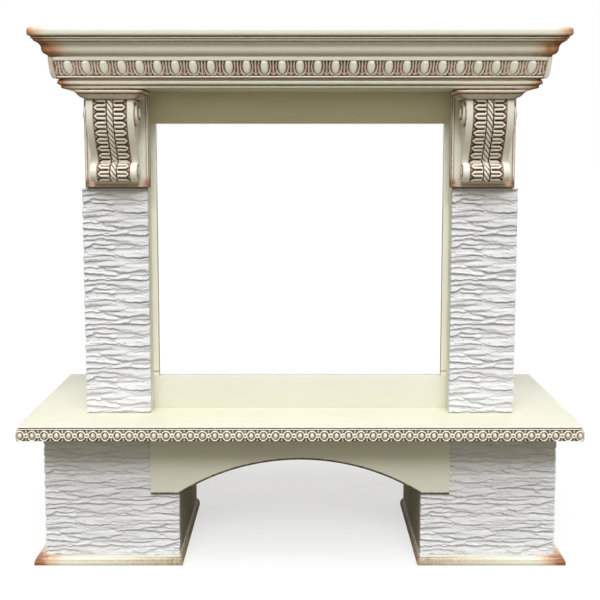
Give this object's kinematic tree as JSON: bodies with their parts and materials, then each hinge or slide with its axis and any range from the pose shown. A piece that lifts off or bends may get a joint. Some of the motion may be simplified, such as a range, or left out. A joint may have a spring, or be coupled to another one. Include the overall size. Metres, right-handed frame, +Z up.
{
  "type": "fireplace mantelpiece",
  "caption": "Ivory painted fireplace surround with split stone pillars and pedestals, carved corbels, egg-and-dart cornice and a wide hearth shelf over an arched apron.",
  "frame": {"origin": "on the floor, in the middle of the width and of the depth", "axes": "+X to the viewer's right, +Y back to the wall, +Z up"},
  "size_m": [1.2, 0.46, 1.175],
  "materials": {
    "ivory_paint": "satin ivory paint on board",
    "moulded_ivory_paint": "satin ivory paint with brown patina at the corners",
    "carved_antique_paint": "ivory paint on cast ornament, with dark brown patina in the recesses",
    "split_stone": "matt white cast split stone"
  },
  "bodies": {
    "root": {"plinth_board_left": "moulded_ivory_paint", "pedestal_front_board_left": "ivory_paint", "pedestal_inner_board_left": "ivory_paint", "pedestal_outer_board_left": "ivory_paint", "pedestal_front_stone_left": "split_stone", "pedestal_side_stone_left": "split_stone", "plinth_board_right": "moulded_ivory_paint", "pedestal_front_board_right": "ivory_paint", "pedestal_inner_board_right": "ivory_paint", "pedestal_outer_board_right": "ivory_paint", "pedestal_front_stone_right": "split_stone", "pedestal_side_stone_right": "split_stone", "arched_apron": "ivory_paint", "hearth_shelf": "ivory_paint", "bead_trim_front": "carved_antique_paint", "bead_trim_left": "carved_antique_paint", "bead_trim_right": "carved_antique_paint", "panel_bottom_rail": "ivory_paint", "panel_top_rail": "ivory_paint", "panel_stile_left": "ivory_paint", "pillar_front_board_left": "ivory_paint", "pillar_inner_board_left": "ivory_paint", "pillar_outer_board_left": "ivory_paint", "pillar_front_stone_left": "split_stone", "pillar_side_stone_left": "split_stone", "corbel_left": "carved_antique_paint", "corbel_cap_left": "moulded_ivory_paint", "panel_stile_right": "ivory_paint", "pillar_front_board_right": "ivory_paint", "pillar_inner_board_right": "ivory_paint", "pillar_outer_board_right": "ivory_paint", "pillar_front_stone_right": "split_stone", "pillar_side_stone_right": "split_stone", "corbel_right": "carved_antique_paint", "corbel_cap_right": "moulded_ivory_paint", "soffit_board": "ivory_paint", "cornice_front_board": "ivory_paint", "cornice_side_board_left": "ivory_paint", "cornice_side_board_right": "ivory_paint", "bed_moulding_front": "moulded_ivory_paint", "bed_moulding_left": "moulded_ivory_paint", "bed_moulding_right": "moulded_ivory_paint", "egg_and_dart_front": "carved_antique_paint", "egg_and_dart_left": "carved_antique_paint", "egg_and_dart_right": "carved_antique_paint", "crown_moulding_front": "moulded_ivory_paint", "crown_moulding_left": "moulded_ivory_paint", "crown_moulding_right": "moulded_ivory_paint", "mantel_shelf": "moulded_ivory_paint"}
  },
  "joints": []
}
